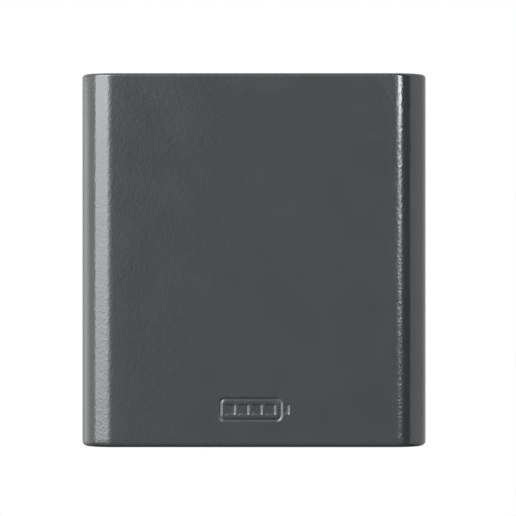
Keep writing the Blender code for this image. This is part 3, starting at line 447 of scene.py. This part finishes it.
def make_vent():
    """The vent's face has three slots that cross in its middle and lead to the membrane."""
    rings = [(radius, 0.0) for radius in np.linspace(7.3, 0.3, 26)]

    def shape(angle, radius, height):
        across = min(abs(radius * math.sin(angle - math.radians(turned))) for turned in (0, 60, 120))
        depth = 0.6 * min(max((0.85 - across) / 0.3, 0), 1)
        return radius, height + (depth if height < 0.05 and radius < 7.35 else 0)

    profile = [(0, 10.3), (6, 10.3), (6, 4), (8.5, 4), (8.5, 1.0), (7.9, 0.2), (7.5, 0.0), *rings, (0, 0.6)]
    turn("vent", "vent_plug", profile, steps=240, shape=shape, edge=0.12)


def make_button():
    """A dished rubber button in a rimmed bezel."""
    low, high = (corner[2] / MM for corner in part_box("button_bezel"))
    roof = high - low
    bezel = [
        (0, roof), (8, roof), (8, 2.5), (10.9, 2.5), (11, 2.3), (11, 0.7), (10.5, 0.1), (9.9, 0), (8.6, 0),
        (8.2, 0.35), (7.6, 0.35), (7.2, 0), (5.5, 0), (5.5, 1.5), (6.5, 1.5), (6.5, roof - 2), (0, roof - 2),
    ]
    turn("bezel", "button_bezel", bezel, steps=96, edge=0.25)
    low, high = (corner[2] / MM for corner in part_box("button_cap"))
    top = high - low
    cap = [
        (0, top), (6.1, top), (6.1, top - 1.3), (5.1, top - 1.3), (5.1, 0.9), (4.8, 0.2), (4.2, 0),
        (3.4, 0.1), (2.4, 0.45), (1.2, 0.62), (0, 0.65),
    ]
    turn("button", "button_cap", cap, steps=64, edge=0.3)


def make_spring():
    """The button's coil spring, with closed ends."""
    node, radius, turns, sides, steps = "button_spring", 0.45, 6, 12, 240
    low, high = (np.array(corner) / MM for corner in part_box(node))
    middle, length = (low + high) / 2, high[2] - low[2]
    coil = (high[0] - low[0]) / 2 - radius
    closed = 2.2 * radius / length  # the first and last turn touch the next one
    bm = bmesh.new()
    rings = []
    for step in range(steps + 1):
        share = step / steps
        rise = closed * min(share * turns, 1) + closed * max(share * turns - turns + 1, 0)
        rise += (1 - 2 * closed) * min(max((share * turns - 1) / (turns - 2), 0), 1)
        height = low[2] + radius + (length - 2 * radius) * rise
        angle = math.tau * turns * share
        ring = []
        for side in range(sides):
            around = math.tau * side / sides
            out, up = coil + radius * math.cos(around), height + radius * math.sin(around)
            ring.append(bm.verts.new((out * math.cos(angle) * MM, out * math.sin(angle) * MM, up * MM)))
        rings.append(ring)
    for first, second in zip(rings, rings[1:]):
        for side in range(sides):
            after = (side + 1) % sides
            bm.faces.new((first[side], first[after], second[after], second[side]))
    for end in (rings[0], rings[-1]):
        bm.faces.new(end)
    piece = add_piece("coil_spring", finish_mesh(bm, "coil_spring"), node)
    piece.location = (middle[0] * MM, middle[1] * MM, 0)
    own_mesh(piece)


def cross_screw(name, node, head, top, underside, shank):
    """A pan head screw with a cross recess; head and shank are radii, top and underside are heights."""
    arm, reach, depth = 0.18 * head, 0.71 * head, 0.28 * head
    lowest = top - 0.6

    def shape(angle, radius, height):
        x, y = radius * math.cos(angle), radius * math.sin(angle)
        inside = min(max((arm - min(abs(x), abs(y))) / 0.3, 0), 1)
        share = inside * min(max(reach - radius, 0), 1)
        return radius, height - (depth * share if height > lowest else 0)

    crown = [(radius, top - 0.018 * radius**2) for radius in np.linspace(0.15, 0.83 * head, 18)]
    profile = [
        (0, top - depth), *crown, (0.94 * head, top - 0.4), (head, top - 0.9), (head, underside),
        (shank, underside), (shank, 0.6), (shank - 0.7, 0), (0, 0),
    ]
    turn(name, node, profile, steps=96, shape=shape, axis="Y", edge=0.1)


def make_screws():
    """The lid's four screws and the board's two."""
    for number in range(1, 5):
        cross_screw(f"cross_screw_{number}", f"lid_screw_{number}", 3.5, 13.2, 11.8, 1.9)
    for number in range(1, 3):
        cross_screw(f"small_cross_screw_{number}", f"board_screw_{number}", 3.0, 8.2, 6.2, 1.3)


def make_cells():
    """Round cells with a crimped neck and a raised terminal, which points up or down in turn."""
    terminal, rise, shoulder = 5.0, 1.0, 1.2
    for row in ("front", "rear"):
        for column in range(1, 5):
            node = f"cell_{row}_{column}"
            low, high = (np.array(corner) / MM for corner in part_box(node))
            radius, length = (high[0] - low[0]) / 2, high[2] - low[2]
            neck = length - 4.5
            profile = [
                (0, length), (terminal, length), (terminal, length - rise),
                (radius - shoulder, length - rise), (radius, length - rise - shoulder),
                (radius, neck), (radius - 0.5, neck - 0.5),
                (radius - 0.5, neck - 1.1), (radius, neck - 1.6), (radius, 0.5), (radius - 0.5, 0),
                (radius - 2.2, 0), (radius - 2.5, 0.3), (0, 0.3),
            ]
            if (row == "front") != (column < 3):
                profile = [(r, length - height) for r, height in reversed(profile)]
            turn(f"round_{node}", node, profile, steps=64, edge=0.5)


def make_board_parts():
    """The board's capacitor, with a crimped foot and a scored end, and the inductor with its wire."""

    def scored(angle, radius, height):
        across = min(abs(radius * math.sin(angle - math.radians(turned))) for turned in (30, 90, 150))
        on_end = height > 23.0 and radius < 5.6
        return radius, height - (0.25 if on_end and across < 0.3 else 0)

    end = [(radius, 23.1) for radius in np.linspace(0.3, 6.2, 20)]
    can = [
        (0, 23.1), *end, (6.7, 23.5), (7.3, 23.4), (8, 22.6), (8, 4.2), (7.4, 3.6), (7.4, 3.2), (8, 2.6),
        (8, 0), (0, 0),
    ]
    turn("can_capacitor", "capacitor", can, steps=120, shape=scored, axis="Y", edge=0.2)

    ring, section, windings = 10.5, 4.6, 26

    def wound(angle, radius, height):
        share = 0.86 + 0.14 * math.sqrt(abs(math.sin(windings * angle / 2)))
        return ring + (radius - ring) * share, section + (height - section) * share

    circle = [
        (ring + section * math.cos(angle), section + section * math.sin(angle))
        for angle in np.linspace(math.pi / 2, -1.5 * math.pi, 28, endpoint=False)
    ]
    turn("wound_inductor", "inductor", circle, steps=windings * 8, shape=wound, axis="Y", edge=0.2)


def make_grommet():
    """The rubber ring round the output leads, with a groove for the wall it sits in."""
    low, high = (corner[2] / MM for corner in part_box("lead_grommet"))
    height = high - low
    lip, groove, bore, edge = 9, 6.7, 4.5, 1.2
    profile = [
        (lip, height), (lip, height - edge), (groove, height - edge), (groove, edge), (lip, edge), (lip, 0),
        (bore, 0), (bore, height),
    ]
    turn("grommet", "lead_grommet", profile, steps=64, edge=0.5)


# Bent leaf springs


def strip_rows(bm, line, offset, half_width, sign):
    """Rows of points across a bent strip, moved off its middle line by offset."""
    along = np.gradient(line, axis=0)
    along /= np.linalg.norm(along, axis=1)[:, None]
    normal = np.stack((-along[:, 1], along[:, 0]), axis=1)
    rows = []
    for (x, y), width in zip(line + normal * offset, half_width):
        row = [(sign * x * MM, y * MM, width * share * MM) for share in np.linspace(-1, 1, 13)]
        rows.append([bm.verts.new(point) for point in row])
    return rows


def join_rows(bm, rows):
    """Faces between each row of points and the next."""
    for upper, lower in zip(rows, rows[1:]):
        for number in range(len(upper) - 1):
            bm.faces.new((upper[number], upper[number + 1], lower[number + 1], lower[number]))


def make_clips():
    """Leaf springs with a smooth bow, a narrower middle, rounded corners and a riveted rear foot."""
    bow = [(0, 20), (0, 26), (1, 38), (1, 42), (0, 54), (0, 58)]  # share of the rise, distance forward
    thickness, corner, waist = 0.6, 1.5, 0.12
    rivet_radius, rivet_height, rivet_inset = 1.9, 0.55, 3.0
    for side, sign in (("left", -1), ("right", 1)):
        node = f"cover_clip_{side}"
        low, high = (np.array(corner_point) / MM for corner_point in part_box(node))
        inner, outer = sorted((abs(low[0]), abs(high[0])))
        start, rise, length = inner + thickness / 2, outer - inner - thickness, high[1] - low[1]
        line = np.array(soften([(start + rise * share, -y) for share, y in bow], 5.0, 8))
        line[:, 0] = np.clip(line[:, 0], start, outer - thickness / 2)
        place = (line[:, 1] - low[1]) / length
        to_end = np.minimum(place, 1 - place) * length
        half_width = (high[2] - low[2]) / 2 * (1 - waist * np.sin(math.pi * place) ** 2)
        half_width -= corner - np.sqrt(np.maximum(corner**2 - np.maximum(corner - to_end, 0) ** 2, 0))
        bm = bmesh.new()
        faces = [strip_rows(bm, line, offset, half_width, sign) for offset in (thickness / 2, -thickness / 2)]
        for rows in faces:
            join_rows(bm, rows)
        for end in (0, -1):
            join_rows(bm, [rows[end] for rows in faces])
            join_rows(bm, [[row[end] for row in rows] for rows in faces])
        flattened = Matrix.Scale(rivet_height / rivet_radius, 4, (0, 0, 1))
        dome = Matrix.Rotation(math.radians(90), 4, "Y") @ flattened
        for height in (-4.5, 4.5):
            at = (sign * (inner + thickness) * MM, (high[1] - rivet_inset) * MM, height * MM)
            place = Matrix.Translation(at) @ dome
            bmesh.ops.create_uvsphere(bm, u_segments=24, v_segments=12, radius=rivet_radius * MM, matrix=place)
        mesh = finish_mesh(bm, f"leaf_spring_{side}")
        mesh.set_sharp_from_angle(angle=math.radians(40))
        piece = add_piece(f"leaf_spring_{side}", mesh, node)
        piece.location = (0, 0, (low[2] + high[2]) / 2 * MM)


# CAD nodes that stay

# Width of the rounding on each node's edges, in millimetres
EDGES = {
    "rear_housing": 0.5, "inner_lid": 0.45, "lid_gasket": 0.2, "wall_bracket": 0.3, "hanger_rail": 0.35,
    "wall_buffer": 0.3, "terminal_block": 0.3, "breaker_body": 0.4, "breaker_toggle": 0.35, "fuse_base": 0.35,
    "fuse_carrier": 0.3, "blade_fuse": 0.12, "service_port": 0.4, "port_cap": 0.4, "control_board": 0.15,
    "heat_sink": 0.2, "board_connector": 0.3, "cell_holder_lower": 0.3, "cell_holder_upper": 0.3,
    **{f"terminal_lever_{number}": 0.3 for number in range(1, 5)},
}
SMOOTH_ANGLE = 32


def dress_nodes():
    """Give each CAD node its finish, smooth round faces and small rounded edges."""
    for name, node in NODES.items():
        mesh = node.data
        mesh.materials.clear()
        mesh.materials.append(MATERIALS[SLOT_OF[name]])
        mesh.shade_smooth()
        mesh.set_sharp_from_angle(angle=math.radians(SMOOTH_ANGLE))
        if name in EDGES:
            flatten = node.modifiers.new("flat faces", "DECIMATE")
            flatten.decimate_type = "DISSOLVE"
            flatten.angle_limit = math.radians(0.5)
            bevel = node.modifiers.new("edges", "BEVEL")
            bevel.width = EDGES[name] * MM
            bevel.segments = 2
            bevel.limit_method = "ANGLE"
            bevel.angle_limit = math.radians(SMOOTH_ANGLE)
            bevel.harden_normals = True


# Studio


# Each light of the studio as seen from the unit: strength, the span of azimuth it fills with the width of
# its two soft ends, and the same for its span of height, all in degrees. Azimuth is 0 towards the camera
# and negative on the left.
LIGHTS = {
    "left softbox": (6.6, (-70, -19), (6, 16), (-4, 52), (20, 30)),
    "left softbox foot": (0.8, (-70, -19), (8, 20), (-40, 20), (50, 30)),
    "left softbox glow": (1.0, (-30, -5), (10, 11), (-2, 60), (30, 30)),
    "left softbox head": (5.0, (-80, -10), (10, 14), (30, 52), (20, 16)),
    "left wall": (1.7, (-103, -66), (10, 8), (-20, 80), (60, 40)),
    "left backdrop": (1.7, (-134, -103), (24, 10), (-20, 7), (60, 6)),
    "behind on the left": (0.85, (-300, -103), (1, 10), (-20, 80), (60, 40)),
    "room behind the camera": (0.41, (-60, 30), (30, 12), (-60, 110), (60, 60)),
    "ceiling in front": (0.55, (-60, 12), (30, 20), (34, 100), (30, 30)),
    "right strip glow": (2.6, (9, 16), (4, 4), (2.4, 40), (9, 16)),
    "right strip": (17.0, (16.2, 25), (3, 3), (2.4, 44), (8, 16)),
    "right wall": (0.95, (60, 106), (6, 16), (-30, 80), (40, 40)),
    "right backdrop": (0.75, (106, 300), (16, 1), (-30, 80), (40, 40)),
}
DARKNESS = 0.042


def make_world():
    """The studio's light from each direction; the camera itself sees a white backdrop."""
    world = bpy.data.worlds.new("studio")
    bpy.context.scene.world = world
    world.use_nodes = True
    nodes = Nodes(world.node_tree)
    parts = nodes.tree.nodes.new("ShaderNodeSeparateXYZ")
    nodes.put(parts.inputs[0], nodes.add("ShaderNodeTexCoord", output="Generated"))
    x, y, z = parts.outputs
    to_degrees = 180 / math.pi
    turn = nodes.maths("ARCTAN2", x, nodes.maths("MULTIPLY", y, -1.0))
    azimuth = nodes.maths("MULTIPLY", turn, to_degrees)
    height = nodes.maths("MULTIPLY", nodes.maths("ARCSINE", z), to_degrees)
    light = DARKNESS
    for strength, across, across_ends, up, up_ends in LIGHTS.values():
        wide, tall = nodes.band(azimuth, *across, *across_ends), nodes.band(height, *up, *up_ends)
        share = nodes.maths("MULTIPLY", wide, tall)
        light = nodes.maths("ADD", nodes.maths("MULTIPLY", share, strength), light)
    seen = nodes.add("ShaderNodeLightPath", output="Is Camera Ray")
    studio = nodes.add("ShaderNodeBackground", {"Color": (0.965, 0.99, 1.0, 1.0), "Strength": light})
    backdrop = nodes.add("ShaderNodeBackground", {"Color": (1.0, 1.0, 1.0, 1.0), "Strength": 1.0})
    both = nodes.add("ShaderNodeMixShader", {0: seen, 1: studio, 2: backdrop})
    nodes.add("ShaderNodeOutputWorld", {"Surface": both})


def make_floor():
    """A plain pale floor well below the unit, which hangs free of it."""
    bm = bmesh.new()
    bmesh.ops.create_grid(bm, x_segments=1, y_segments=1, size=FLOOR_SIDE / 2)
    mesh = bpy.data.meshes.new("studio_floor")
    bm.to_mesh(mesh)
    bm.free()
    floor = bpy.data.objects.new("studio_floor", mesh)
    bpy.context.scene.collection.objects.link(floor)
    floor.location = (0, 0, CAD_BOX[0][2] - FLOOR_DROP)
    paint = make_surface("floor_paint", (0.80, 0.80, 0.80), 0.6, mottle=0.01, mottle_scale=3.0)
    mesh.materials.append(paint)
    floor.visible_glossy = False


def make_camera():
    """A long lens straight in front, framed so that the hood takes its share of the picture."""
    low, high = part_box("front_cover")
    distance = (high[0] - low[0]) / HOOD_SHARE * LENS / SENSOR
    camera = bpy.data.cameras.new("front_camera")
    camera.lens, camera.sensor_width = LENS, SENSOR
    camera.shift_x, camera.shift_y = PICTURE_SHIFT
    mount = bpy.data.objects.new("front_camera", camera)
    bpy.context.scene.collection.objects.link(mount)
    silhouette = low[1] + SIDE_RADIUS * MM
    mount.location = ((low[0] + high[0]) / 2, silhouette - distance, (low[2] + high[2]) / 2)
    mount.rotation_euler = (math.radians(90), 0, 0)
    bpy.context.scene.camera = mount


bpy.context.scene.view_settings.view_transform = "Standard"
make_camera()
make_world()
make_floor()
dress_nodes()
make_hood()
make_glands()
make_vent()
make_button()
make_spring()
make_screws()
make_cells()
make_board_parts()
make_grommet()
make_clips()
